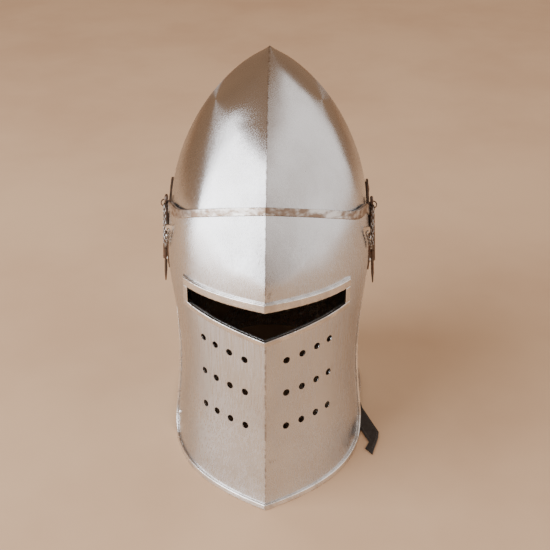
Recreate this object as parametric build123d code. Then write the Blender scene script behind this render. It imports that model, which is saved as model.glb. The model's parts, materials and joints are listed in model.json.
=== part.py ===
from build123d import *
import os
from math import asin, atan2, cos, hypot, radians, sin, sqrt

# A steel bascinet with a hinged visor. Millimetres, +Z up, the face looks along -Y.
# The origin is the centre of the neck opening, on the surface the helmet stands on.
# Left and right are the wearer's: left is +X.

# Driving dimensions
SHEET = 1.5
APEX_HEIGHT = 397
APEX_Y = 58

# Skull stations: height, half width, front ridge y, y of the widest point, rear y
SKULL = [
    (0, 103.5, -124, 32, 152),
    (14, 102.5, -122, 32, 147),
    (40, 97.5, -119, 30, 139),
    (75, 92.3, -117, 26, 129.5),
    (110, 91.2, -116.5, 22, 125),
    (150, 94, -118, 18, 127),
    (195, 97.8, -121, 15, 134),
    (235, 99.3, -120, 15, 140.5),
    (262, 98.2, -113, 17, 142.5),
    (283, 93.9, -105.5, 20, 140),
    (305, 86.2, -92, 25, 134),
    (328, 74.4, -71, 32, 124.5),
    (350, 58.5, -44, 40, 111),
    (370, 38.8, -14, 48, 94),
    (384, 20, 14, 53.5, 78.5),
]
SKULL_CREASE = 22
# The inside tip lies lower than the outside tip by this many times the wall thickness
TIP_STEEPNESS = 1.5

# Visor stations: height, half width, y of the widest point, ridge y
VISOR = [
    (0, 103.5, 0, -172),
    (25, 101, 0, -164.3),
    (55, 97.5, 0, -156.3),
    (90, 94.8, 0, -149),
    (122, 94.8, 0, -144.7),
    (150, 97, 0, -142),
    (175, 100.6, 3, -141),
    (200, 103.2, 8, -139.3),
    (225, 102.8, 13, -135.5),
    (250, 101, 16, -128),
    (275, 98, 17, -115.5),
    (305, 89.5, 20, -96),
]
# The crease angle at the ridge falls from low to high between these heights
VISOR_CREASE_LOW = 27
VISOR_CREASE_HIGH = 22
CREASE_FROM_Z = 100
CREASE_TO_Z = 290
# Share of a section's chord that leaves the ridge along the crease
SKULL_LEAD = 0.4
VISOR_LEAD = 0.42
# The uncut visor body runs straight back this far behind its widest point
VISOR_BACK = 8

# Pivots and side hinges
PIVOT_Y = 36
PIVOT_Z = 251.5
PIVOT_SHANK = 3
RUNNING_CLEARANCE = 0.05
ARM_INNER_X = 99.9
ARM_THICKNESS = 2
ARM_EYE = 11
ARM_BEND_Y = 7.5
# The side pieces of pivots and hinges all lie between these two values of x
SIDE_FROM_X = 80
SIDE_TO_X = 120
SPACER_RADIUS = 8
SIDE_CLEARANCE = 0.15
PIVOT_FOOT_GAP = 0.8
BARREL_X = 105.8
BARREL_RADIUS = 3
BARREL_BOTTOM = 188
BARREL_SPLIT = 200
BARREL_TOP = 250
BARREL_MIDDLE = (BARREL_BOTTOM + BARREL_TOP) / 2
HINGE_LEAN = 3.6
KNUCKLE_GAP = 0.4
LEAF_TOP = 230
LEAF_DEPTH = 20
PIN_RADIUS = 1.5
PIN_BOTTOM = 160
PIN_TAPER = 12
PIN_TIP = 0.6
EYE_MAJOR = 3.4
COLLAR_RADIUS = 2.6
COLLAR_HEIGHT = 1.2
EYE_CENTRE_Z = BARREL_TOP + 0.5 + EYE_MAJOR + 2 * PIN_RADIUS
PIN_TRAVEL = 56

# Pin chain
TAB_HOLE = (97.3, -40, 244.5)
TAB_HOLE_RADIUS = 1.3
TAB_HEIGHT = 7
TAB_HOLE_DROP = 1
TAB_END = 2.8
TAB_THICKNESS = 1.6
TAB_ROOT_X = 86
TAB_SPLAY = 3.2
CHAIN_LOW_X = 104
CHAIN_LOW_Y = -28
LINK_WIRE = 0.45
LINK_LENGTH = 5
LINK_WIDTH = 3.2
LINK_PLAY = 0.08
CHAIN_MARGIN = 0.9
TAB_RING = 2.3
RING_MAJOR = 3.6
RING_WIRE = 0.6
RING_HANG = 1.4
RING_SWING = 60

# Sight and breath holes
SIGHT_HALF_WIDTH = 76
SIGHT_BOTTOM_MIDDLE = 183.2
SIGHT_BOTTOM_END = 192.8
SIGHT_TOP_MIDDLE = 213.5
SIGHT_TOP_END = 209
UPPER_RIM_MIDDLE = 221.5
UPPER_RIM_END = 216.5
LOWER_RIM_DROP = 5.2
END_FLANGE = 4.5
RIM_RISE = 3.4
BREATH_RADIUS = 3.6
BREATH_COLUMNS = [20, 35, 49, 61]
BREATH_ROWS = [(154.5, 5), (118, 2), (81, 1)]

# Face opening of the skull and edge strips
EDGE_STRIP = 6
EDGE_RISE = 0.9
BROW_STRIP = 9
BROW_RISE = 1.3
ROLL_RISE = 2.2
ROLL_WIDTH = 5
ROLL_TOP = 186

# Rivets: shank radius, head radius, head rise, foot radius, foot rise
PIVOT_RIVET = (PIVOT_SHANK, 6, 1.8, 4.6, 1.5)
LEAF_RIVET = (1.5, 2.7, 1.5, 2.2, 0.7)
CORNER_RIVET = (1.5, 2.9, 2, 2.3, 0.6)
LINER_RIVET = (1.2, 2.8, 1.8, 2.5, 0.8)
STRAP_RIVET = (1.6, 3.8, 2.4, 2.6, 0.8)
RIVET_SLACK = 0.12
LEAF_RIVET_Y = -14
LEAF_RIVET_Z = (196, 222)
CORNER_RIVET_X = 95.3
CORNER_RIVET_Z = 28

# Liner: a leather band on the inside of the skull, tongues above it, a lace through their tips.
# The band's lower edge falls in a straight line from front to rear.
LINER_LEATHER = 2
BAND_FRONT_Y = -125
BAND_REAR_Y = 160
BAND_FRONT = 277
BAND_REAR = 190
BAND_HEIGHT = 24
BAND_STANDOFF = 1.2
# The band is notched round the foot of each pivot rivet
PIVOT_NOTCH = 5.6
TONGUE_GAP = 0.3
LINER_RIVET_Y = (66, 94, 121)
TONGUES = 8
LINER_TOP = 352
LINER_BASE = 240
LINER_CENTRE_Y = 26
LINER_DOME_X = 84
LINER_DOME_Y = 112
LACE_RADIUS = 20
LACE_THICKNESS = 2.6
LACE_HOLE = 1.9
LACE_DROP = 6.4
# Outline of one tongue seen from above: distance from the middle, half width
PETAL = [(14, 4.5), (70, 24), (140, 34)]

# Chin straps: the long one comes out under the left rim, the short one hangs inside on the right
STRAP_WIDTH = 20
STRAP_LEATHER = 2.4
STRAP_GAP = 0.4
STRAP_Y = 20
STRAP_RIVET_Z = 115
STRAP_TOP = 128
WASHER_RADIUS = 5
WASHER_THICKNESS = 1.2
FLOOR_STRAP = [(96, 31), (101, 8), (106, -16), (121, -56), (120, -64), (112, -91), (105, -82), (109.5, -72),
               (99.5, -45), (90, -18), (89, 8), (90, 31)]

# Buckle
BUCKLE_BAR_X = 91.2
BUCKLE_BAR_Z = 44
BUCKLE_WIDTH = 26
BUCKLE_HEIGHT = 22
BUCKLE_WIRE = 1.4
LOOP_INNER = 1.6
LOOP_OUTER = 3.2
PRONG_HUB = 2.8
PRONG_HALF = 1.6
PRONG_WIRE = 1.1
PRONG_SLOT = 4.4

# Side-view outlines, as (y, z) runs
VISOR_BROW_RUN = [(-112, 308), (-84, 291), (-65, 279.5), (-52, 272.8), (-42, 270), (-28, 267), (-14, 260),
                  (-7, 249)]
VISOR_REAR_RUN = [(-7, 249), (-3.5, 234), (-3, 190), (-10, 150), (-24, 105), (-32, 60), (-38, 26)]
VISOR_CORNER_RUN = [(-38, 26), (-44, 9), (-62, 0)]
FACE_BROW_RUN = [(-135, 271), (-100, 271), (-66, 262), (-48, 238)]
FACE_SIDE_RUN = [(-48, 238), (-46, 200), (-50, 150), (-60, 90), (-62, 0)]
ARCH = [(-62, -2), (-54, 0.5), (-16, 6.2), (40, 4.2), (86, 0.2), (96, -2)]

# The neck rim is this much wider than high, and the face rims start above it
NECK_RIM = 5
FACE_RIM_FROM = 6

# Longer than the helmet in every direction, for cutting tools
FAR = 400
SIDES = [("left", 1), ("right", -1)]


def leaning(table, index, column):
    """Slope of one column of a station table at a station."""
    low = table[max(index - 1, 0)]
    high = table[min(index + 1, len(table) - 1)]
    return (high[column] - low[column]) / (high[0] - low[0])


def skull_stations(growth):
    """The skull's stations, moved outwards along the surface by growth."""
    ridge_factor = 1 / cos(radians(SKULL_CREASE))
    table = SKULL + [(APEX_HEIGHT, 0, APEX_Y, APEX_Y, APEX_Y)]
    moved = []
    for i, (z, half, front, widest, rear) in enumerate(SKULL):
        half_step = growth * hypot(1, leaning(table, i, 1))
        front_step = growth * hypot(1, leaning(table, i, 2)) * ridge_factor
        rear_step = growth * hypot(1, leaning(table, i, 4))
        moved.append((z, half + half_step, front - front_step, widest, rear + rear_step))
    return moved


def visor_stations(growth):
    """The visor's stations, moved outwards along the surface by growth."""
    moved = []
    for i, (z, half, widest, ridge) in enumerate(VISOR):
        half_step = growth * hypot(1, leaning(VISOR, i, 1))
        ridge_step = growth * hypot(1, leaning(VISOR, i, 3)) / cos(visor_crease(z))
        moved.append((z, half + half_step, widest, ridge - ridge_step))
    return moved


def visor_crease(z):
    share = min(max((z - CREASE_FROM_Z) / (CREASE_TO_Z - CREASE_FROM_Z), 0), 1)
    return radians(VISOR_CREASE_LOW + share * (VISOR_CREASE_HIGH - VISOR_CREASE_LOW))


def front_points(half, ridge, widest, crease, lead_share):
    """Bezier points of a section from the front ridge to its widest point."""
    lead = lead_share * hypot(half, widest - ridge)
    first = (lead * cos(crease), ridge + lead * sin(crease))
    second = (half, widest - 0.55 * (widest - ridge))
    return [(0, ridge), first, second, (half, widest)]


def rear_points(half, widest, rear):
    """Bezier points of a section from its widest point to the middle of the back."""
    return [(half, widest), (half, widest + 0.55 * (rear - widest)), (0.55 * half, rear), (0, rear)]


def lifted(points, z, side=1):
    return [Vector(side * x, y, z) for x, y in points]


def skull_section(half, front, widest, rear, z):
    face = front_points(half, front, widest, radians(SKULL_CREASE), SKULL_LEAD)
    back = rear_points(half, widest, rear)
    edges = [Bezier(*lifted(face, z)), Bezier(*lifted(back, z))]
    edges += [Bezier(*lifted(back[::-1], z, -1)), Bezier(*lifted(face[::-1], z, -1))]
    return Wire(edges)


def skull_solid(growth):
    """The skull's solid form, grown outwards, or shrunk; its tip only comes down, so growing keeps the height."""
    stations = skull_stations(growth)
    sections = [skull_section(half, front, widest, rear, z) for z, half, front, widest, rear in stations]
    tip_drop = TIP_STEEPNESS * max(-growth, 0)
    return Solid.make_loft(sections + [Vertex(0, APEX_Y, APEX_HEIGHT - tip_drop)])


def visor_section(half, widest, back, ridge, z):
    points = front_points(half, ridge, widest, visor_crease(z), VISOR_LEAD)
    back_right = Vector(half, back, z)
    back_left = Vector(-half, back, z)
    edges = [Bezier(*lifted(points, z)), Line(Vector(half, widest, z), back_right)]
    edges += [Line(back_right, back_left), Line(back_left, Vector(-half, widest, z))]
    edges += [Bezier(*lifted(points[::-1], z, -1))]
    return Wire(edges)


def visor_solid(growth):
    """The visor's solid form; the further it is grown, the less far back it reaches."""
    back = VISOR_BACK - growth
    stations = visor_stations(growth)
    sections = [visor_section(half, widest, widest + back, ridge, z) for z, half, widest, ridge in stations]
    return Solid.make_loft(sections)


def surface_plane(solid, start, direction):
    """The plane on a solid's surface where a line first meets it, facing back along the line."""
    line = Axis(start, direction)
    hits = [hit for face in solid.faces() for hit in face.find_intersection_points(line)]
    point, normal = min(hits, key=lambda hit: (hit[0] - Vector(*start)).length)
    if normal.dot(Vector(*direction)) > 0:
        normal = -normal
    return Plane(origin=point, z_dir=normal)


def side_surface(solid, y, z):
    return surface_plane(solid, (FAR, y, z), (-1, 0, 0))


def front_surface(solid, x, z):
    return surface_plane(solid, (x, -FAR, z), (0, 1, 0))


def cap_middle(radius, rise):
    """The point half way along a spherical cap's profile, from its edge to its top."""
    sphere = (radius ** 2 + rise ** 2) / (2 * rise)
    half_angle = asin(radius / sphere) / 2
    return sphere * sin(half_angle), rise - sphere + sphere * cos(half_angle)


def rivet(sizes, grip):
    """A rivet along Z: its head stands on the XY plane, and its foot is spread below the grip."""
    shank, head, head_rise, foot, foot_rise = sizes
    head_x, head_z = cap_middle(head, head_rise)
    foot_x, foot_z = cap_middle(foot, foot_rise)
    low = -grip - RIVET_SLACK
    top_point = Vector(0, 0, head_rise)
    low_point = Vector(0, 0, low - foot_rise)
    profile = [
        ThreePointArc(top_point, Vector(head_x, 0, head_z), Vector(head, 0, 0)),
        Line(Vector(head, 0, 0), Vector(shank, 0, 0)),
        Line(Vector(shank, 0, 0), Vector(shank, 0, low)),
        Line(Vector(shank, 0, low), Vector(foot, 0, low)),
        ThreePointArc(Vector(foot, 0, low), Vector(foot_x, 0, low - foot_z), low_point),
        Line(low_point, top_point),
    ]
    return revolve(Face(Wire(profile)), Axis.Z)


def rivet_hole(sizes):
    return Cylinder(sizes[0], 30)


def side_plate(points, x_from=-FAR, x_to=FAR):
    """A prism along X whose outline is given in side view as (y, z) points."""
    outline = Plane.YZ * Polygon(*points, align=None)
    return Pos(x_from, 0, 0) * extrude(outline, x_to - x_from, dir=(1, 0, 0))


def front_plate(points, y_from=-FAR, y_to=0):
    """A prism along Y whose outline is given in front view as (x, z) points."""
    outline = Plane.XZ * Polygon(*points, align=None)
    return Pos(0, y_to, 0) * extrude(outline, y_to - y_from, dir=(0, -1, 0))


def side_curve(*runs):
    """A closed side-view outline of runs; a run of several points is a smooth curve."""
    edges = []
    for run in runs:
        points = [Vector(0, y, z) for y, z in run]
        edges.append(Line(*points) if len(points) == 2 else Spline(*points))
    return Face(Wire(edges))


def closed(runs, corners):
    """A side-view face: smooth runs in a row, joined end to start by straight lines through corners."""
    ends = [runs[-1][-1]] + corners + [runs[0][0]]
    return side_curve(*runs, *zip(ends, ends[1:]))


def side_prism(face):
    return extrude(Pos(-FAR, 0, 0) * face, FAR * 2, dir=(1, 0, 0))


def half_space(side):
    return Pos(side * FAR / 2, 0, 200) * Box(FAR, 2 * FAR, 2 * FAR)


def along_x(radius, x_from, x_to, y, z):
    return Pos((x_from + x_to) / 2, y, z) * Rot(0, 90, 0) * Cylinder(radius, abs(x_to - x_from))


def along_z(radius, x, y, z_from, z_to):
    return Pos(x, y, (z_from + z_to) / 2) * Cylinder(radius, z_to - z_from)


def save(shape, name):
    solids = shape.solids()
    whole = solids[0] if len(solids) == 1 else Compound(solids)
    export_step(whole, f"parts/{name}.step")


def mirrored(shape, side):
    return shape if side > 0 else mirror(shape, Plane.YZ)


def both_sides(shape):
    return shape.solids() + mirror(shape, Plane.YZ).solids()


def visor_outline():
    """Side-view outline of the visor, open towards the front."""
    runs = [VISOR_BROW_RUN, VISOR_REAR_RUN, VISOR_CORNER_RUN]
    return closed(runs, [(-FAR, 0), (-FAR, APEX_HEIGHT)])


def shifted(run, along, up):
    return [(y + along, z + up) for y, z in run]


def face_outline(margin):
    """Side-view outline of the skull's face opening, grown backwards by a margin."""
    brow = shifted(FACE_BROW_RUN[:-1], 0, margin)
    corner = shifted(FACE_BROW_RUN[-1:], margin * 0.9, margin * 0.4)
    side = shifted(FACE_SIDE_RUN[1:], margin, 0)
    return closed([brow + corner, corner + side], [(side[-1][0], -FAR), (-FAR, -FAR), (-FAR, brow[0][1])])


def build_skull(outer, inner):
    arch = side_prism(closed([ARCH], []))
    opening = side_prism(face_outline(0))
    shell = outer - inner - opening - arch
    shell = shell - skull_holes(outer)
    for name, side in SIDES:
        save(shell & half_space(side), f"skull_half_{name}")
    return opening, arch


def skull_holes(outer):
    """Holes for the pivots, the straps and the liner's rivets."""
    pivot = along_x(PIVOT_SHANK, SIDE_FROM_X, SIDE_TO_X, PIVOT_Y, PIVOT_Z)
    strap = side_surface(outer, STRAP_Y, STRAP_RIVET_Z) * rivet_hole(STRAP_RIVET)
    holes = [pivot, strap] + [plane * rivet_hole(LINER_RIVET) for plane in liner_rivet_planes(outer)]
    return Compound([solid for hole in holes for solid in both_sides(hole)])


def build_neck_rim(outer, arch, opening):
    """The outward rolled edge around the bottom of the skull."""
    grown = skull_solid(ROLL_RISE)
    band = grown - outer - opening - arch
    below = Pos(0, 0, NECK_RIM / 2) * Box(FAR, FAR, NECK_RIM)
    arched = side_prism(closed([shifted(ARCH, 0, NECK_RIM)], []))
    save(band & (below + arched), "skull_neck_rim")


def build_face_rim(outer, opening, arch):
    """The strip along the edge of the face opening."""
    grown = skull_solid(EDGE_RISE)
    wider = side_prism(face_outline(EDGE_STRIP))
    above = Pos(0, 0, FACE_RIM_FROM + FAR / 2) * Box(FAR, 2 * FAR, FAR)
    strip = (grown - outer) & wider & above
    strip = strip - opening - arch
    for name, side in SIDES:
        save(strip & half_space(side), f"skull_face_rim_{name}")


def sight_opening():
    end = SIGHT_HALF_WIDTH
    right = [(0, SIGHT_BOTTOM_MIDDLE), (end, SIGHT_BOTTOM_END), (end, SIGHT_TOP_END), (0, SIGHT_TOP_MIDDLE)]
    return right + [(-end, SIGHT_TOP_END), (-end, SIGHT_BOTTOM_END)]


def breath_holes(outer):
    holes = []
    innermost, outermost = BREATH_COLUMNS[0], BREATH_COLUMNS[-1]
    for height, rise in BREATH_ROWS:
        for x in BREATH_COLUMNS:
            z = height + rise * (x - innermost) / (outermost - innermost)
            holes += both_sides(front_surface(outer, x, z) * Cylinder(BREATH_RADIUS, 14))
    return Compound(holes)


def build_visor(outer, inner):
    outline = side_prism(visor_outline())
    shell = (outer - inner) & outline
    shell = shell - front_plate(sight_opening())
    shell = shell - breath_holes(outer)
    shell = shell - corner_rivet_place(outer) * rivet_hole(CORNER_RIVET)
    for plane in leaf_rivet_planes(outer):
        shell = shell - Compound(both_sides(plane * rivet_hole(LEAF_RIVET)))
    for name, side in SIDES:
        save(shell & half_space(side), f"visor_half_{name}")
    return outline


def build_brow_band(outer, outline):
    band = (visor_solid(BROW_RISE) - outer) & outline
    corner = shifted(VISOR_BROW_RUN[-2:-1], -0.7 * BROW_STRIP, -0.8 * BROW_STRIP)
    lower = shifted(VISOR_BROW_RUN[:-2], 0, -BROW_STRIP) + corner + shifted(VISOR_BROW_RUN[-1:], -BROW_STRIP, 0)
    keep = closed([lower], [(FAR, lower[-1][1]), (FAR, FAR), (lower[0][0], FAR)])
    save(band & side_prism(keep), "visor_brow_band")


def build_sight_rims(outer):
    band = visor_solid(RIM_RISE) - outer
    end = SIGHT_HALF_WIDTH
    flange = end + END_FLANGE
    upper = [(0, SIGHT_TOP_MIDDLE), (end, SIGHT_TOP_END), (flange, SIGHT_TOP_END), (flange, UPPER_RIM_END),
             (0, UPPER_RIM_MIDDLE)]
    lower = [(0, SIGHT_BOTTOM_MIDDLE), (end, SIGHT_BOTTOM_END), (flange, SIGHT_BOTTOM_END),
             (flange, SIGHT_BOTTOM_END - LOWER_RIM_DROP), (0, SIGHT_BOTTOM_MIDDLE - LOWER_RIM_DROP)]
    middle = [(end, SIGHT_BOTTOM_END), (flange, SIGHT_BOTTOM_END), (flange, SIGHT_TOP_END), (end, SIGHT_TOP_END)]
    for part, points in (("upper_rim", upper), ("lower_rim", lower), ("end_flange", middle)):
        piece = band & front_plate(points, -FAR, -20)
        for name, side in SIDES:
            save(mirrored(piece, side), f"sight_{part}_{name}")


def build_edge_rolls(outer, outline):
    """The outward rolls along the visor's rear and bottom edges."""
    band = (visor_solid(ROLL_RISE) - outer) & outline
    rear = shifted(VISOR_REAR_RUN[2:], -ROLL_WIDTH, 0)
    corner = [rear[-1], (-50, 14), (-66, ROLL_WIDTH)]
    inside = side_prism(closed([rear, corner], [(-FAR, ROLL_WIDTH), (-FAR, rear[0][1])]))
    below = Pos(0, 0, ROLL_TOP / 2) * Box(FAR, 2 * FAR, ROLL_TOP)
    roll = (band - inside) & below
    for name, side in SIDES:
        save(roll & half_space(side), f"visor_edge_roll_{name}")


def hinge_place():
    """The left hinge leans inwards: this turns an upright shape about the middle of the barrel."""
    middle = Pos(BARREL_X, 0, BARREL_MIDDLE)
    return middle * Rot(0, -HINGE_LEAN, 0) * middle.inverse()


def knuckle(z_from, z_to):
    return hinge_place() * along_z(BARREL_RADIUS, BARREL_X, 0, z_from, z_to)


def pin_bore():
    bore = along_z(PIN_RADIUS + RUNNING_CLEARANCE, BARREL_X, 0, BARREL_BOTTOM - 5, BARREL_TOP + 5)
    return hinge_place() * bore


def build_visor_leaf(outer):
    """The hinge leaf on the visor's side, with the lowest knuckle of the barrel."""
    strip = (visor_solid(SHEET) - outer) & side_plate(
        [(-LEAF_DEPTH, BARREL_BOTTOM), (0, BARREL_BOTTOM), (0, BARREL_SPLIT), (-4, BARREL_SPLIT),
         (-4, LEAF_TOP - 8), (-10, LEAF_TOP), (-LEAF_DEPTH, LEAF_TOP)], 0, FAR)
    web = side_plate([(-3, BARREL_BOTTOM + 0.5), (-0.5, BARREL_BOTTOM + 0.5), (-0.5, BARREL_SPLIT - 0.5),
                      (-3, BARREL_SPLIT - 0.5)], BARREL_X - 5, BARREL_X)
    leaf = strip + web + knuckle(BARREL_BOTTOM, BARREL_SPLIT) - pin_bore() - outer
    for plane in leaf_rivet_planes(outer):
        leaf = leaf - plane * rivet_hole(LEAF_RIVET)
    for name, side in SIDES:
        save(mirrored(leaf, side), f"visor_hinge_leaf_{name}")


def leaf_rivet_planes(outer):
    return [side_surface(outer, LEAF_RIVET_Y, z) for z in LEAF_RIVET_Z]


def build_leaf_rivets(outer):
    rivets = [plane * Pos(0, 0, SHEET) * rivet(LEAF_RIVET, 2 * SHEET) for plane in leaf_rivet_planes(outer)]
    for name, side in SIDES:
        save(mirrored(Compound(rivets), side), f"hinge_leaf_rivets_{name}")


def tangent_point(point, centre, radius, side):
    along = atan2(centre[1] - point[1], centre[0] - point[0])
    distance = hypot(centre[0] - point[0], centre[1] - point[1])
    turn = along + side * asin(radius / distance)
    return (centre[0] - side * radius * sin(turn), centre[1] + side * radius * cos(turn))


def build_pivot_arm():
    """The side arm from the skull's pivot to the upper knuckle of the barrel."""
    low = BARREL_SPLIT + KNUCKLE_GAP
    eye = (PIVOT_Y, PIVOT_Z)
    shoulder = (0, BARREL_TOP - 2)
    top_touch = tangent_point(shoulder, eye, ARM_EYE, 1)
    low_touch = tangent_point((0, low), eye, ARM_EYE, -1)
    shape = side_plate([(0, low), shoulder, top_touch, eye, low_touch], SIDE_FROM_X, SIDE_TO_X)
    shape = shape + along_x(ARM_EYE, SIDE_FROM_X, SIDE_TO_X, *eye)
    outer_x = ARM_INNER_X + ARM_THICKNESS
    plan = Polygon((BARREL_X - BARREL_RADIUS, 0), (BARREL_X + 1, 0), (BARREL_X + 1, 1.5),
                   (outer_x, ARM_BEND_Y + 1), (outer_x, FAR), (ARM_INNER_X, FAR), (ARM_INNER_X, ARM_BEND_Y),
                   align=None)
    plate = Pos(0, 0, low) * extrude(plan, FAR, dir=(0, 0, 1))
    arm = (plate & shape) + knuckle(low, BARREL_TOP) - pin_bore()
    arm = arm - along_x(PIVOT_SHANK + RUNNING_CLEARANCE, SIDE_FROM_X, SIDE_TO_X, *eye)
    for name, side in SIDES:
        save(mirrored(arm, side), f"pivot_arm_{name}")


def build_pivots(outer):
    """The pivot rivets and the spacers that fill the gap between arm and skull."""
    surface_x = side_surface(outer, PIVOT_Y, PIVOT_Z).origin.X
    spacer = along_x(SPACER_RADIUS, surface_x - 5, ARM_INNER_X - SIDE_CLEARANCE, PIVOT_Y, PIVOT_Z) - outer
    spacer = spacer - along_x(PIVOT_SHANK, SIDE_FROM_X, SIDE_TO_X, PIVOT_Y, PIVOT_Z)
    spacer = spacer.solids().sort_by(Axis.X)[-1]
    head_x = ARM_INNER_X + ARM_THICKNESS + SIDE_CLEARANCE
    foot_x = surface_x - SHEET - PIVOT_FOOT_GAP
    pivot = Pos(head_x, PIVOT_Y, PIVOT_Z) * Rot(0, 90, 0) * rivet(PIVOT_RIVET, head_x - foot_x)
    for name, side in SIDES:
        save(mirrored(spacer, side), f"pivot_spacer_{name}")
        save(mirrored(pivot, side), f"pivot_rivet_{name}")


def build_hinge_pin():
    """The lift-out pin: a tapered point below and a bent eye above."""
    shaft = along_z(PIN_RADIUS, BARREL_X, 0, PIN_BOTTOM + PIN_TAPER, EYE_CENTRE_Z - EYE_MAJOR)
    point = Pos(BARREL_X, 0, PIN_BOTTOM + PIN_TAPER / 2) * Cone(PIN_TIP, PIN_RADIUS, PIN_TAPER)
    eye = Pos(BARREL_X, 0, EYE_CENTRE_Z) * Rot(0, 90, 0) * Torus(EYE_MAJOR, PIN_RADIUS)
    collar_z = BARREL_TOP + KNUCKLE_GAP
    collar = along_z(COLLAR_RADIUS, BARREL_X, 0, collar_z, collar_z + COLLAR_HEIGHT)
    pin = hinge_place() * (shaft + point + eye + collar)
    for name, side in SIDES:
        save(mirrored(pin, side), f"hinge_pin_{name}")


def ring_point(hang):
    """A point below the ring's centre; the ring hangs forwards, outwards and down from the pin's eye."""
    swing = radians(RING_SWING)
    reach = (EYE_MAJOR + RING_HANG * cos(swing) + hang) / sqrt(2)
    return Vector(BARREL_X + RING_HANG * sin(swing), -reach, EYE_CENTRE_Z - reach)


def build_pin_ring():
    ring = hinge_place() * Location(ring_point(0)) * Rot(45, 0, 0) * Torus(RING_MAJOR, RING_WIRE)
    for name, side in SIDES:
        save(mirrored(ring, side), f"pin_ring_{name}")


def chain_points():
    """Where the chain starts on the pin's ring, where it hangs lowest, and the tab's hole."""
    top = (hinge_place() * Location(ring_point(RING_MAJOR))).position
    tab = Vector(*TAB_HOLE)
    low = Vector(CHAIN_LOW_X, CHAIN_LOW_Y, tab.Z - PIN_TRAVEL / 2)
    return top, low, tab


def chain_link():
    """One oval link in the XZ plane, centred on the origin, long along Z."""
    radius = LINK_WIDTH / 2 - LINK_WIRE
    straight = LINK_LENGTH / 2 - LINK_WIDTH / 2
    bend = Torus(radius, LINK_WIRE, major_angle=180, align=None)
    side = Cylinder(LINK_WIRE, 2 * straight)
    upper = Pos(0, 0, straight) * Rot(90, 0, 0) * bend
    lower = Pos(0, 0, -straight) * Rot(-90, 0, 0) * bend
    return Pos(radius, 0, 0) * side + Pos(-radius, 0, 0) * side + upper + lower


def chain_between(start, end, across, ring_wire, last_margin):
    """Interlocking links from a ring's wire to an end, the first one square to the ring."""
    heading = (end - start).normalized()
    across = across - heading * across.dot(heading)
    hooked = LINK_LENGTH / 2 - 2 * LINK_WIRE - ring_wire - LINK_PLAY
    pitch = LINK_LENGTH - 4 * LINK_WIRE - LINK_PLAY
    length = (end - start).length - last_margin
    count = int((length - hooked - LINK_LENGTH / 2) / pitch) + 1
    plane = Plane(origin=start, z_dir=heading, x_dir=across)
    link = chain_link()
    links = []
    for i in range(count):
        links += (plane * Pos(0, 0, hooked + i * pitch) * Rot(0, 0, 90 * (i % 2)) * link).solids()
    return links


def build_chain():
    top, low, tab = chain_points()
    upper = chain_between(top, low, Vector(0, -1, 1), RING_WIRE, CHAIN_MARGIN)
    sideways = Vector(low.X - tab.X, low.Y - tab.Y, 0).normalized()
    plane = Plane(origin=tab - Vector(0, 0, TAB_RING), z_dir=sideways.cross(Vector(0, 0, 1)), x_dir=sideways)
    ring = plane * Torus(TAB_RING, LINK_WIRE)
    start = tab - Vector(0, 0, 2 * TAB_RING)
    across = sideways.cross(Vector(0, 0, 1))
    lower = ring.solids() + chain_between(start, low, across, LINK_WIRE, CHAIN_MARGIN)
    for name, side in SIDES:
        save(mirrored(Compound(upper), side), f"chain_pin_strand_{name}")
        save(mirrored(Compound(lower), side), f"chain_tab_strand_{name}")


def build_chain_tab(outer):
    """The small plate on the visor's side that anchors the chain."""
    x, y, z = TAB_HOLE
    half = TAB_THICKNESS / 2
    end_x = x + TAB_END
    end_y = y + TAB_SPLAY * TAB_END / (end_x - TAB_ROOT_X)
    root_y = end_y - TAB_SPLAY
    plan = Polygon((TAB_ROOT_X, root_y - half), (end_x, end_y - half), (end_x, end_y + half),
                   (TAB_ROOT_X, root_y + half), align=None)
    plate = Pos(0, 0, z - TAB_HEIGHT) * extrude(plan, 2 * TAB_HEIGHT, dir=(0, 0, 1))
    length = end_x - TAB_ROOT_X
    side_view = RectangleRounded(2 * length, TAB_HEIGHT, TAB_HEIGHT / 3)
    corner = Plane.XZ * Pos(end_x - length, z + TAB_HOLE_DROP) * side_view
    tab = (plate & extrude(corner, FAR, both=True)) - outer
    hole = Pos(x, y, z) * Rot(90, 0, 0) * Cylinder(TAB_HOLE_RADIUS, 4 * TAB_THICKNESS)
    tab = (tab - hole).solids().sort_by(Axis.X)[-1]
    for name, side in SIDES:
        save(mirrored(tab, side), f"chain_tab_{name}")


def corner_rivet_place(outer):
    """The single rivet in the lower corner of the visor's right half."""
    return front_surface(outer, -CORNER_RIVET_X, CORNER_RIVET_Z)


def build_corner_rivet(outer):
    save(corner_rivet_place(outer) * rivet(CORNER_RIVET, SHEET), "visor_corner_rivet")


def band_slab(bottom, top):
    """A slanting slab between two heights above the liner band's lower edge."""
    return side_plate([(BAND_FRONT_Y, BAND_FRONT + bottom), (BAND_REAR_Y, BAND_REAR + bottom),
                       (BAND_REAR_Y, BAND_REAR + top), (BAND_FRONT_Y, BAND_FRONT + top)])


def band_height(y):
    share = (y - BAND_FRONT_Y) / (BAND_REAR_Y - BAND_FRONT_Y)
    return BAND_FRONT + share * (BAND_REAR - BAND_FRONT) + BAND_HEIGHT / 2


def liner_rivet_planes(outer):
    """Rivets that hold the liner band; they sit behind the pivots, clear of the visor."""
    return [side_surface(outer, y, band_height(y)) for y in LINER_RIVET_Y]


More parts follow.
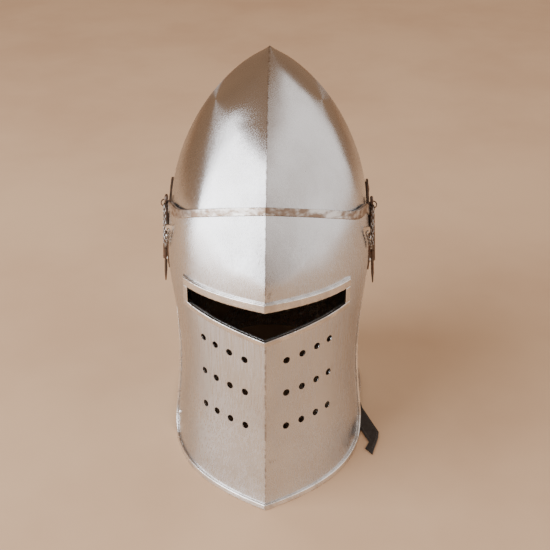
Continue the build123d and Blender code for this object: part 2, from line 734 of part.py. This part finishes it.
def build_liner(outer):
    depth = SHEET + BAND_STANDOFF
    cavity = skull_solid(-depth)
    core = skull_solid(-depth - LINER_LEATHER)
    band = (cavity - core) & band_slab(0, BAND_HEIGHT)
    band = band - side_prism(face_outline(2))
    band = band - Compound(both_sides(along_x(PIVOT_NOTCH, SIDE_FROM_X, SIDE_TO_X, PIVOT_Y, PIVOT_Z)))
    rivets = []
    for plane in liner_rivet_planes(outer):
        band = band - Compound(both_sides(plane * rivet_hole(LINER_RIVET)))
        rivets += both_sides(plane * rivet(LINER_RIVET, depth + LINER_LEATHER))
    save(band, "liner_band")
    save(Compound(rivets), "liner_rivets")
    build_tongues()


def liner_dome(growth):
    """The dome that the liner's tongues lie on, standing inside the skull."""
    dome = Sphere(1) & Pos(0, 0, 1) * Box(2, 2, 2)
    height = LINER_TOP - LINER_BASE + growth
    dome = scale(dome, by=(LINER_DOME_X + growth, LINER_DOME_Y + growth, height))
    return Pos(0, LINER_CENTRE_Y, LINER_BASE) * dome


def build_tongues():
    shell = liner_dome(0) - liner_dome(-LINER_LEATHER)
    shell = shell & band_slab(BAND_HEIGHT + TONGUE_GAP, FAR)
    petal = Polygon(*PETAL, *[(reach, -half) for reach, half in PETAL[::-1]], align=None)
    for i in range(TONGUES):
        place = Pos(0, LINER_CENTRE_Y, LINER_TOP) * Rot(0, 0, 360 / TONGUES * (i + 0.5))
        prism = place * extrude(petal, FAR, both=True)
        hole = place * Pos(LACE_RADIUS, 0, 0) * Cylinder(LACE_HOLE, FAR)
        tongue = (shell & prism) - hole
        save(tongue.solids().sort_by(SortBy.VOLUME)[-1], f"liner_tongue_{i + 1}")
    lace = Pos(0, LINER_CENTRE_Y, LINER_TOP - LACE_DROP) * Torus(LACE_RADIUS, LACE_THICKNESS / 2)
    save(lace, "liner_lace")


def hanging_strap(top, bottom, outside, inside):
    shell = outside - inside
    half = STRAP_WIDTH / 2
    return shell & side_plate([(STRAP_Y - half, bottom), (STRAP_Y + half, bottom), (STRAP_Y + half, top),
                               (STRAP_Y - half, top)], 0, FAR)


def build_straps(outer):
    near = skull_solid(-SHEET - STRAP_GAP)
    deep = skull_solid(-SHEET - STRAP_GAP - STRAP_LEATHER)
    place = side_surface(outer, STRAP_Y, STRAP_RIVET_Z)
    hole = place * rivet_hole(STRAP_RIVET)
    long_strap = hanging_strap(STRAP_TOP, 1, near, deep) - hole
    floor_part = extrude(Polygon(*FLOOR_STRAP, align=None), STRAP_LEATHER, dir=(0, 0, 1))
    save(long_strap + floor_part, "chin_strap_long")
    short_strap = hanging_strap(STRAP_TOP, BUCKLE_BAR_Z, near, deep) - hole
    save(mirrored(looped(short_strap), -1), "chin_strap_short")
    build_strap_rivets(place)


def build_strap_rivets(place):
    """A rivet through skull and strap on each side, with a washer behind the leather."""
    leather = SHEET + STRAP_GAP + STRAP_LEATHER
    washer_middle = -leather - RIVET_SLACK - WASHER_THICKNESS / 2
    washer = Pos(0, 0, washer_middle) * Cylinder(WASHER_RADIUS, WASHER_THICKNESS) - rivet_hole(STRAP_RIVET)
    body = rivet(STRAP_RIVET, leather + RIVET_SLACK + WASHER_THICKNESS)
    save(Compound(both_sides(place * body)), "strap_rivets")
    save(Compound(both_sides(place * washer)), "strap_washers")


def along_y(radius, x, y_from, y_to, z):
    return Pos(x, (y_from + y_to) / 2, z) * Rot(90, 0, 0) * Cylinder(radius, y_to - y_from)


def looped(strap):
    """A strap with its lower end turned round the buckle's bar, and a slot for the prong."""
    y_from = STRAP_Y - STRAP_WIDTH / 2
    y_to = STRAP_Y + STRAP_WIDTH / 2
    loop = strap + along_y(LOOP_OUTER, BUCKLE_BAR_X, y_from, y_to, BUCKLE_BAR_Z)
    loop = loop - along_y(LOOP_INNER, BUCKLE_BAR_X, y_from, y_to, BUCKLE_BAR_Z)
    return loop - Pos(BUCKLE_BAR_X, STRAP_Y, BUCKLE_BAR_Z) * Box(10, PRONG_SLOT, 10)


def build_buckle():
    """A wire buckle on the short strap and a prong that turns on its top bar."""
    half = BUCKLE_WIDTH / 2
    low_z = BUCKLE_BAR_Z - BUCKLE_HEIGHT
    frame = along_y(BUCKLE_WIRE, BUCKLE_BAR_X, STRAP_Y - half, STRAP_Y + half, BUCKLE_BAR_Z)
    frame = frame + along_y(BUCKLE_WIRE, BUCKLE_BAR_X, STRAP_Y - half, STRAP_Y + half, low_z)
    for y in (STRAP_Y - half, STRAP_Y + half):
        frame = frame + along_z(BUCKLE_WIRE, BUCKLE_BAR_X, y, low_z, BUCKLE_BAR_Z)
        for z in (low_z, BUCKLE_BAR_Z):
            frame = frame + Pos(BUCKLE_BAR_X, y, z) * Sphere(BUCKLE_WIRE)
    hub = along_y(PRONG_HUB, BUCKLE_BAR_X, STRAP_Y - PRONG_HALF, STRAP_Y + PRONG_HALF, BUCKLE_BAR_Z)
    tongue_x = BUCKLE_BAR_X - BUCKLE_WIRE - PRONG_WIRE - 0.4
    tongue = along_z(PRONG_WIRE, tongue_x, STRAP_Y, low_z - BUCKLE_WIRE, BUCKLE_BAR_Z)
    tongue = tongue + Pos(tongue_x, STRAP_Y, low_z - BUCKLE_WIRE) * Sphere(PRONG_WIRE)
    prong = hub + tongue
    prong = prong - along_y(BUCKLE_WIRE + RUNNING_CLEARANCE, BUCKLE_BAR_X, STRAP_Y - 5, STRAP_Y + 5, BUCKLE_BAR_Z)
    save(mirrored(frame, -1), "buckle_frame")
    save(mirrored(prong, -1), "buckle_prong")


def main():
    os.makedirs("parts", exist_ok=True)
    skull_outer = skull_solid(0)
    skull_inner = skull_solid(-SHEET)
    opening, arch = build_skull(skull_outer, skull_inner)
    build_neck_rim(skull_outer, arch, opening)
    build_face_rim(skull_outer, opening, arch)
    visor_outer = visor_solid(0)
    visor_inner = visor_solid(-SHEET)
    outline = build_visor(visor_outer, visor_inner)
    build_brow_band(visor_outer, outline)
    build_sight_rims(visor_outer)
    build_edge_rolls(visor_outer, outline)
    build_visor_leaf(visor_outer)
    build_leaf_rivets(visor_outer)
    build_pivot_arm()
    build_pivots(skull_outer)
    build_hinge_pin()
    build_pin_ring()
    build_chain()
    build_chain_tab(visor_outer)
    build_corner_rivet(visor_outer)
    build_liner(skull_outer)
    build_straps(skull_outer)
    build_buckle()


main()
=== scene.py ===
import json
import math

import bmesh
import bpy
from mathutils import Matrix, Vector, noise


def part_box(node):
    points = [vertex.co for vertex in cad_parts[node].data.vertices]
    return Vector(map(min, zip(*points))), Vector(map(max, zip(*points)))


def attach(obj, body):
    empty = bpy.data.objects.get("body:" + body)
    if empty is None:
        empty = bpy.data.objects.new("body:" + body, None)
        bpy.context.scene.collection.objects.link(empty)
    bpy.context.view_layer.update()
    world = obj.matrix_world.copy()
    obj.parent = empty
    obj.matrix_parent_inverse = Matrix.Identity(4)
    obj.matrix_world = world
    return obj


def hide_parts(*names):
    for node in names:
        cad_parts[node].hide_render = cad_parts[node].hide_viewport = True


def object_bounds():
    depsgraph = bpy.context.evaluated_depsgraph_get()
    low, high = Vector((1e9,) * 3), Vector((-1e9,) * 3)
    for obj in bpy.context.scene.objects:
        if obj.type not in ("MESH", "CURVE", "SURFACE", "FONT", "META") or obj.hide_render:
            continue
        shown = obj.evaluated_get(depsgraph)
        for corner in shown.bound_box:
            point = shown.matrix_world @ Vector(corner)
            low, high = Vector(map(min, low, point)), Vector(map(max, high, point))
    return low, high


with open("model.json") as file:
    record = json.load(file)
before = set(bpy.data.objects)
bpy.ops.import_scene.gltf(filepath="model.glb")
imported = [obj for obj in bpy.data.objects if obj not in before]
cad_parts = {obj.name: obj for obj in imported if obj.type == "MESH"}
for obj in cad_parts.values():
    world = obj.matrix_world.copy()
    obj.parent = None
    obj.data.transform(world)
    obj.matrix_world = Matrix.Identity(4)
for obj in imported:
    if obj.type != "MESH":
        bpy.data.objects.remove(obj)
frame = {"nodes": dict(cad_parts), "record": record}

CAD_BOX = [list(corner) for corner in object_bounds()]
NODES = frame["nodes"]
SIDES = ("left", "right")
MM = 0.001
FLOOR_HALF = 6.0
STRAP_LEATHER = 2.4 * MM
STITCH_PITCH = 3.4 * MM
STITCH_LENGTH = 2.5 * MM
STITCH_RADIUS = 0.35 * MM
STITCH_LINES = [
    [(0.0990, 0.008), (0.1040, -0.016), (0.1187, -0.0565), (0.1178, -0.064), (0.1110, -0.086)],
    [(0.0918, 0.008), (0.0925, -0.0175), (0.1017, -0.0455), (0.1115, -0.0715)],
]
HELMET_MIDDLE = (Vector(CAD_BOX[0]) + Vector(CAD_BOX[1])) / 2


# ---------------------------------------------------------------- node helpers

class Shader:
    """A node tree under construction, with short calls for the nodes that the materials share."""

    def __init__(self, name):
        self.material = bpy.data.materials.new(name)
        self.material.use_nodes = True
        self.tree = self.material.node_tree
        self.principled = self.tree.nodes["Principled BSDF"]
        self.coords = self.add("ShaderNodeTexCoord").outputs["Object"]

    def add(self, kind, **settings):
        node = self.tree.nodes.new(kind)
        for key, value in settings.items():
            setattr(node, key, value)
        return node

    def link(self, source, target):
        self.tree.links.new(source, target)

    def put(self, socket, value):
        """Sets a socket from a number, a colour or another node's output."""
        if isinstance(value, bpy.types.NodeSocket):
            self.link(value, socket)
        else:
            socket.default_value = value

    def base(self, **values):
        for key, value in values.items():
            self.put(self.principled.inputs[key.replace("_", " ").title()], value)

    def scaled(self, scale, shift=(0, 0, 0)):
        """Object coordinates times a scale for each axis, in 1/m, plus a shift."""
        node = self.add("ShaderNodeMapping")
        node.inputs["Scale"].default_value = scale
        node.inputs["Location"].default_value = shift
        self.link(self.coords, node.inputs["Vector"])
        return node.outputs["Vector"]

    def noise(self, scale, detail=2.0, rough=0.5, shift=(0, 0, 0)):
        node = self.add("ShaderNodeTexNoise")
        node.inputs["Scale"].default_value = 1.0
        node.inputs["Detail"].default_value = detail
        node.inputs["Roughness"].default_value = rough
        self.link(self.scaled(scale, shift), node.inputs["Vector"])
        return node.outputs["Fac"]

    def cells(self, scale, shift=(0, 0, 0)):
        node = self.add("ShaderNodeTexVoronoi")
        node.inputs["Scale"].default_value = 1.0
        self.link(self.scaled(scale, shift), node.inputs["Vector"])
        return node.outputs["Distance"]

    def math(self, operation, a, b=0.0):
        node = self.add("ShaderNodeMath", operation=operation)
        self.put(node.inputs[0], a)
        self.put(node.inputs[1], b)
        return node.outputs[0]

    def span(self, value, low, high, to_low=0.0, to_high=1.0):
        """Maps low..high to to_low..to_high, clamped."""
        node = self.add("ShaderNodeMapRange", interpolation_type="SMOOTHSTEP")
        self.put(node.inputs["Value"], value)
        node.inputs["From Min"].default_value = low
        node.inputs["From Max"].default_value = high
        node.inputs["To Min"].default_value = to_low
        node.inputs["To Max"].default_value = to_high
        return node.outputs["Result"]

    def mix(self, share, a, b):
        """A colour mix."""
        node = self.add("ShaderNodeMix", data_type="RGBA")
        self.put(node.inputs["Factor"], share)
        self.put(node.inputs["A"], a)
        self.put(node.inputs["B"], b)
        return node.outputs["Result"]

    def axis(self, name):
        node = self.add("ShaderNodeSeparateXYZ")
        self.link(self.coords, node.inputs[0])
        return node.outputs[name]

    def near(self, centre, radii):
        """1 at a point, falling to 0 at an ellipsoid's surface round it."""
        shift = [-c / r for c, r in zip(centre, radii)]
        scale = [1 / r for r in radii]
        length = self.add("ShaderNodeVectorMath", operation="LENGTH")
        self.link(self.scaled(scale, shift), length.inputs[0])
        return self.span(length.outputs["Value"], 1.0, 0.0)

    def bump(self, height, distance, strength=1.0, under=None):
        node = self.add("ShaderNodeBump")
        node.inputs["Distance"].default_value = distance
        node.inputs["Strength"].default_value = strength
        self.put(node.inputs["Height"], height)
        if under is not None:
            self.link(under, node.inputs["Normal"])
        return node.outputs["Normal"]


# ---------------------------------------------------------------- materials

def weld_line(s):
    """1 along parts of the welded ridge in the middle, 0 away from it."""
    ridge = s.span(s.math("ABSOLUTE", s.axis("X")), 1.6 * MM, 0.3 * MM)
    broken = s.noise((90, 90, 140), detail=4, rough=0.7, shift=(9, 4, 2))
    return s.math("MULTIPLY", ridge, s.span(broken, 0.42, 0.60))


def scorch_and_painted_reflection(s):
    """1 in dark specks of scorch near the brow and the hinges, and in specks of painted reflection of the
    brown board at the nose of the sight, just right of the ridge.
    """
    specks = s.span(s.noise((420, 420, 160), detail=4, rough=0.7, shift=(3, 8, 1)), 0.54, 0.62)
    places = s.near((-0.004, -0.131, 0.262), (0.009, 0.03, 0.022))
    # painted reflection: the brown board mirrored in the visor just right of the ridge, painted as dark specks
    places = s.math("MAXIMUM", places, s.near((0.003, -0.140, 0.228), (0.007, 0.02, 0.022)))
    places = s.math("MAXIMUM", places, s.near((0.010, -0.165, 0.048), (0.016, 0.02, 0.006)))
    for side in (-1, 1):
        places = s.math("MAXIMUM", places, s.near((side * 0.103, -0.010, 0.245), (0.02, 0.022, 0.03)))
    return s.math("MULTIPLY", places, specks)


def plate_steel():
    """Satin polished sheet with a fine upright grain, soft dents, tarnish, small pits and a patch of painted
    reflection by the ridge.
    """
    s = Shader("plate_steel")
    grain = s.noise((900, 900, 22), detail=3, rough=0.6)
    wide_grain = s.noise((260, 260, 9), detail=2, rough=0.5, shift=(3, 1, 2))
    dents = s.noise((22, 22, 22), detail=1, rough=0.3, shift=(7, 2, 5))
    cloud = s.noise((14, 14, 9), detail=4, rough=0.6, shift=(1, 6, 3))
    pits = s.cells((170, 170, 120), shift=(2, 5, 1))
    pit = s.math("MULTIPLY", s.span(pits, 0.10, 0.04), s.span(cloud, 0.52, 0.66))
    colour = s.mix(s.span(cloud, 0.3, 0.75), (0.66, 0.665, 0.68, 1), (0.54, 0.53, 0.53, 1))
    colour = s.mix(s.math("MULTIPLY", pit, 0.8), colour, (0.10, 0.07, 0.05, 1))
    colour = s.mix(s.math("MULTIPLY", weld_line(s), 0.55), colour, (0.16, 0.11, 0.08, 1))
    # dark specks: scorch near the brow and the hinges, and a painted reflection of the brown board right of
    # the ridge
    colour = s.mix(s.math("MULTIPLY", scorch_and_painted_reflection(s), 0.75), colour, (0.09, 0.065, 0.05, 1))
    rough = s.math("ADD", s.span(cloud, 0.3, 0.7, 0.22, 0.30), s.span(grain, 0.3, 0.7, -0.03, 0.05))
    rough = s.math("ADD", rough, s.math("MULTIPLY", pit, 0.3))
    normal = s.bump(dents, 1.2 * MM, 1.0)
    normal = s.bump(wide_grain, 0.03 * MM, 1.0, normal)
    normal = s.bump(grain, 0.012 * MM, 1.0, normal)
    s.base(base_color=colour, metallic=1.0, roughness=rough, normal=normal)
    s.principled.inputs["Anisotropic"].default_value = 0.8
    s.principled.inputs["Anisotropic Rotation"].default_value = 0.25
    tangent = s.add("ShaderNodeTangent", direction_type="RADIAL", axis="Z")
    s.link(tangent.outputs[0], s.principled.inputs["Tangent"])
    return s.material


def rim_steel():
    """Brighter polished steel on the strips and rolled edges."""
    s = Shader("rim_steel")
    wear = s.noise((60, 60, 60), detail=4, rough=0.6)
    fine = s.noise((500, 500, 500), detail=2, rough=0.6, shift=(4, 2, 1))
    colour = s.mix(s.span(wear, 0.35, 0.7), (0.84, 0.83, 0.82, 1), (0.60, 0.56, 0.52, 1))
    rough = s.span(wear, 0.3, 0.7, 0.20, 0.34)
    normal = s.bump(wear, 0.5 * MM, 1.0)
    normal = s.bump(fine, 0.03 * MM, 1.0, normal)
    s.base(base_color=colour, metallic=1.0, roughness=rough, normal=normal)
    return s.material


def brow_steel():
    """The band on the brow: two bright ridges over brown tarnish."""
    s = Shader("brow_steel")
    wear = s.noise((45, 45, 90), detail=4, rough=0.65)
    fine = s.noise((500, 500, 500), detail=2, rough=0.6, shift=(4, 2, 1))
    colour = s.mix(s.span(wear, 0.38, 0.62), (0.62, 0.59, 0.56, 1), (0.24, 0.17, 0.125, 1))
    normal = s.bump(wear, 0.7 * MM, 1.0)
    normal = s.bump(fine, 0.04 * MM, 1.0, normal)
    s.base(base_color=colour, metallic=1.0, roughness=s.span(wear, 0.3, 0.7, 0.24, 0.42), normal=normal)
    return s.material


def dark_steel():
    """Heat-darkened, slightly rusty steel."""
    s = Shader("dark_steel")
    rust = s.noise((180, 180, 120), detail=5, rough=0.65)
    fine = s.noise((900, 900, 900), detail=2, rough=0.6, shift=(2, 1, 7))
    colour = s.mix(s.span(rust, 0.4, 0.68), (0.14, 0.115, 0.10, 1), (0.115, 0.052, 0.026, 1))
    rough = s.span(rust, 0.35, 0.7, 0.34, 0.62)
    metal = s.span(rust, 0.4, 0.7, 1.0, 0.45)
    normal = s.bump(rust, 0.25 * MM, 1.0)
    normal = s.bump(fine, 0.05 * MM, 1.0, normal)
    s.base(base_color=colour, metallic=metal, roughness=rough, normal=normal)
    return s.material


def wire_steel():
    """Dull steel wire of the chain links and split rings."""
    s = Shader("wire_steel")
    wear = s.noise((300, 300, 300), detail=3, rough=0.6)
    colour = s.mix(s.span(wear, 0.35, 0.65), (0.50, 0.48, 0.46, 1), (0.22, 0.18, 0.15, 1))
    s.base(base_color=colour, metallic=1.0, roughness=s.span(wear, 0.3, 0.7, 0.25, 0.5),
           normal=s.bump(wear, 0.06 * MM, 1.0))
    return s.material


def rivet_steel():
    s = Shader("rivet_steel")
    hammered = s.noise((420, 420, 420), detail=2, rough=0.5)
    dirt = s.noise((120, 120, 120), detail=4, rough=0.6, shift=(3, 3, 3))
    colour = s.mix(s.span(dirt, 0.4, 0.7), (0.62, 0.60, 0.57, 1), (0.30, 0.24, 0.19, 1))
    s.base(base_color=colour, metallic=1.0, roughness=s.span(dirt, 0.3, 0.7, 0.26, 0.45),
           normal=s.bump(hammered, 0.25 * MM, 1.0))
    return s.material


def black_leather():
    s = Shader("black_leather")
    pores = s.cells((900, 900, 900))
    crease = s.noise((260, 260, 260), detail=4, rough=0.6)
    colour = s.mix(s.span(crease, 0.4, 0.7), (0.011, 0.010, 0.010, 1), (0.028, 0.024, 0.022, 1))
    normal = s.bump(crease, 0.25 * MM, 1.0)
    normal = s.bump(pores, 0.06 * MM, 1.0, normal)
    s.base(base_color=colour, roughness=s.span(crease, 0.3, 0.7, 0.38, 0.58), normal=normal)
    return s.material


def brown_leather():
    s = Shader("brown_leather")
    pores = s.cells((700, 700, 700))
    cloud = s.noise((30, 30, 30), detail=5, rough=0.6)
    fine = s.noise((400, 400, 400), detail=3, rough=0.6, shift=(5, 1, 1))
    colour = s.mix(s.span(cloud, 0.35, 0.7), (0.30, 0.17, 0.085, 1), (0.19, 0.10, 0.05, 1))
    normal = s.bump(fine, 0.15 * MM, 1.0)
    normal = s.bump(pores, 0.10 * MM, 1.0, normal)
    s.base(base_color=colour, roughness=s.span(cloud, 0.3, 0.7, 0.5, 0.68), normal=normal)
    return s.material


def waxed_lace():
    s = Shader("waxed_lace")
    twist = s.noise((700, 700, 1500), detail=3, rough=0.6)
    colour = s.mix(s.span(twist, 0.35, 0.65), (0.36, 0.24, 0.13, 1), (0.20, 0.12, 0.06, 1))
    s.base(base_color=colour, roughness=0.55, normal=s.bump(twist, 0.15 * MM, 1.0))
    return s.material


def floor_card():
    """A plain pale board with a little unevenness."""
    s = Shader("floor_card")
    cloud = s.noise((3, 3, 3), detail=4, rough=0.6)
    fine = s.noise((160, 160, 160), detail=3, rough=0.6, shift=(1, 2, 3))
    colour = s.mix(s.span(cloud, 0.35, 0.7), (0.66, 0.455, 0.285, 1), (0.59, 0.39, 0.24, 1))
    s.base(base_color=colour, roughness=0.85, normal=s.bump(fine, 0.15 * MM, 0.6))
    return s.material


# ---------------------------------------------------------------- CAD nodes

def paint(material, *names):
    for name in names:
        for slot in NODES[name].material_slots:
            slot.material = material


def paint_all():
    plate, rim, dark = plate_steel(), rim_steel(), dark_steel()
    wire, rivet, black = wire_steel(), rivet_steel(), black_leather()
    brown, lace = brown_leather(), waxed_lace()
    finishes = {
        "polished_steel": plate, "rim_steel": rim, "dark_steel": dark, "chain_steel": wire,
        "rivet_steel": rivet, "black_leather": black, "brown_leather": brown, "lace": lace,
    }
    for part in frame["record"]["subparts"]:
        paint(finishes[part["material_slot"]], part["node"])
    paint(brow_steel(), "visor_brow_band")
    make_leather(black, brown, lace)


# ---------------------------------------------------------------- leather

def soft_copy(name, material, voxel, passes, waviness):
    """Stands for a plain leather solid: its edges are worn round and its faces slightly uneven."""
    mesh = NODES[name].data.copy()
    mesh.name = f"{name}_worn"
    mesh.materials.clear()
    mesh.materials.append(material)
    copy = bpy.data.objects.new(f"{name}_worn", mesh)
    bpy.context.scene.collection.objects.link(copy)
    remesh = copy.modifiers.new("even", "REMESH")
    remesh.mode = "VOXEL"
    remesh.voxel_size = voxel
    remesh.use_smooth_shade = True
    smooth = copy.modifiers.new("worn", "SMOOTH")
    smooth.factor = 0.5
    smooth.iterations = passes
    settled(copy)
    normals = [vertex.normal.copy() for vertex in copy.data.vertices]
    for vertex, normal in zip(copy.data.vertices, normals):
        swell = noise.noise(vertex.co * 90) + 0.5 * noise.noise(vertex.co * 260)
        vertex.co += normal * waviness * swell
    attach(copy, "skull")
    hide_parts(name)


def settled(obj):
    """Applies an object's modifiers to its own mesh."""
    bpy.context.view_layer.update()
    shape = obj.evaluated_get(bpy.context.evaluated_depsgraph_get())
    mesh = bpy.data.meshes.new_from_object(shape)
    mesh.name = obj.data.name
    obj.modifiers.clear()
    obj.data = mesh


def stitches(name, lines, height):
    """Short thread stitches along lines on the floor part of a strap."""
    bm = bmesh.new()
    for line in lines:
        for start, end in zip(line, line[1:]):
            start, end = Vector((*start, 0)), Vector((*end, 0))
            along = (end - start).normalized()
            for step in range(int((end - start).length / STITCH_PITCH)):
                middle = start + along * (step + 0.5) * STITCH_PITCH
                place = (Matrix.Translation((middle.x, middle.y, height))
                         @ Matrix.Rotation(math.atan2(along.y, along.x), 4, "Z")
                         @ Matrix.Diagonal((STITCH_LENGTH / 2, STITCH_RADIUS, STITCH_RADIUS, 1)))
                bmesh.ops.create_icosphere(bm, subdivisions=2, radius=1, matrix=place)
    mesh = bpy.data.meshes.new(name)
    bm.to_mesh(mesh)
    bm.free()
    mesh.shade_smooth()
    mesh.materials.append(thread())
    piece = bpy.data.objects.new(name, mesh)
    bpy.context.scene.collection.objects.link(piece)
    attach(piece, "skull")


def thread():
    s = Shader("thread")
    twist = s.noise((2500, 2500, 2500), detail=2, rough=0.5)
    s.base(base_color=(0.075, 0.062, 0.05, 1), roughness=0.6, normal=s.bump(twist, 0.1 * MM, 1.0))
    return s.material


def make_leather(black, brown, lace):
    for end in ("long", "short"):
        soft_copy(f"chin_strap_{end}", black, 0.5 * MM, 3, 0.25 * MM)
    soft_copy("liner_band", brown, 0.7 * MM, 3, 0.35 * MM)
    for number in range(1, 9):
        soft_copy(f"liner_tongue_{number}", brown, 0.6 * MM, 3, 0.35 * MM)
    soft_copy("liner_lace", lace, 0.35 * MM, 3, 0.15 * MM)
    stitches("strap_stitches", STITCH_LINES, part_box("chin_strap_long")[0].z + STRAP_LEATHER)


# ---------------------------------------------------------------- edges of the CAD nodes

def worn_round(name, voxel, passes):
    """Rounds a hammered strip or roll: its solid is remeshed finely and smoothed."""
    node = NODES[name]
    remesh = node.modifiers.new("even", "REMESH")
    remesh.mode = "VOXEL"
    remesh.voxel_size = voxel
    remesh.use_smooth_shade = True
    smooth = node.modifiers.new("worn", "SMOOTH")
    smooth.factor = 0.5
    smooth.iterations = passes


def eased(name, width):
    """Breaks the sharp edges of a small piece."""
    bevel = NODES[name].modifiers.new("eased", "BEVEL")
    bevel.width = width
    bevel.segments = 3
    bevel.limit_method = "ANGLE"
    bevel.angle_limit = math.radians(40)


def finish_edges():
    for side in SIDES:
        for part in ("upper_rim", "lower_rim", "end_flange"):
            worn_round(f"sight_{part}_{side}", 0.4 * MM, 8)
        worn_round(f"visor_edge_roll_{side}", 0.45 * MM, 8)
        worn_round(f"skull_face_rim_{side}", 0.4 * MM, 2)
        for part in ("visor_hinge_leaf", "pivot_arm", "hinge_pin", "chain_tab"):
            eased(f"{part}_{side}", 0.25 * MM)
    eased("buckle_frame", 0.3 * MM)
    worn_round("visor_brow_band", 0.4 * MM, 3)
    worn_round("skull_neck_rim", 0.45 * MM, 6)


# ---------------------------------------------------------------- stage

def make_floor():
    mesh = bpy.data.meshes.new("floor")
    half = FLOOR_HALF
    corners = [(-half, -half, 0), (half, -half, 0), (half, half, 0), (-half, half, 0)]
    mesh.from_pydata(corners, [], [(0, 1, 2, 3)])
    floor = bpy.data.objects.new("floor", mesh)
    bpy.context.scene.collection.objects.link(floor)
    mesh.materials.append(floor_card())


def area_light(name, place, aim, size, power, colour):
    data = bpy.data.lights.new(name, "AREA")
    data.shape = "RECTANGLE"
    data.size, data.size_y = size
    data.energy = power
    data.color = colour
    light = bpy.data.objects.new(name, data)
    light.location = place
    light.rotation_euler = (Vector(aim) - Vector(place)).to_track_quat("-Z", "Y").to_euler()
    light.visible_camera = False
    bpy.context.scene.collection.objects.link(light)


def lamp_at(azimuth, elevation, distance):
    """A point seen from the helmet at an azimuth, from -Y towards +X, and an elevation, in degrees."""
    turn, rise = math.radians(azimuth), math.radians(elevation)
    level = distance * math.cos(rise)
    return HELMET_MIDDLE + Vector((level * math.sin(turn), -level * math.cos(turn), distance * math.sin(rise)))


def make_lights():
    area_light("window", lamp_at(-66, 26, 2.2), HELMET_MIDDLE, (2.05, 2.7), 115, (0.94, 0.965, 1.0))
    area_light("wall", lamp_at(86, 30, 2.0), HELMET_MIDDLE, (3.6, 3.0), 42, (0.97, 0.99, 1.0))
    world = bpy.data.worlds.new("studio")
    world.use_nodes = True
    background = world.node_tree.nodes["Background"]
    background.inputs["Color"].default_value = (0.50, 0.30, 0.175, 1)
    background.inputs["Strength"].default_value = 0.7
    bpy.context.scene.world = world


def make_camera():
    data = bpy.data.cameras.new("camera")
    data.sensor_width = 36
    data.lens = 63.2
    camera = bpy.data.objects.new("camera", data)
    place, aim = Vector((0.0242, -0.8657, 0.705)), Vector((0.0063, 0, 0.1677))
    camera.location = place
    camera.rotation_euler = (aim - place).to_track_quat("-Z", "Y").to_euler()
    data.clip_start, data.clip_end = 0.05, 50
    bpy.context.scene.collection.objects.link(camera)
    bpy.context.scene.camera = camera


paint_all()
finish_edges()
make_floor()
make_lights()
make_camera()
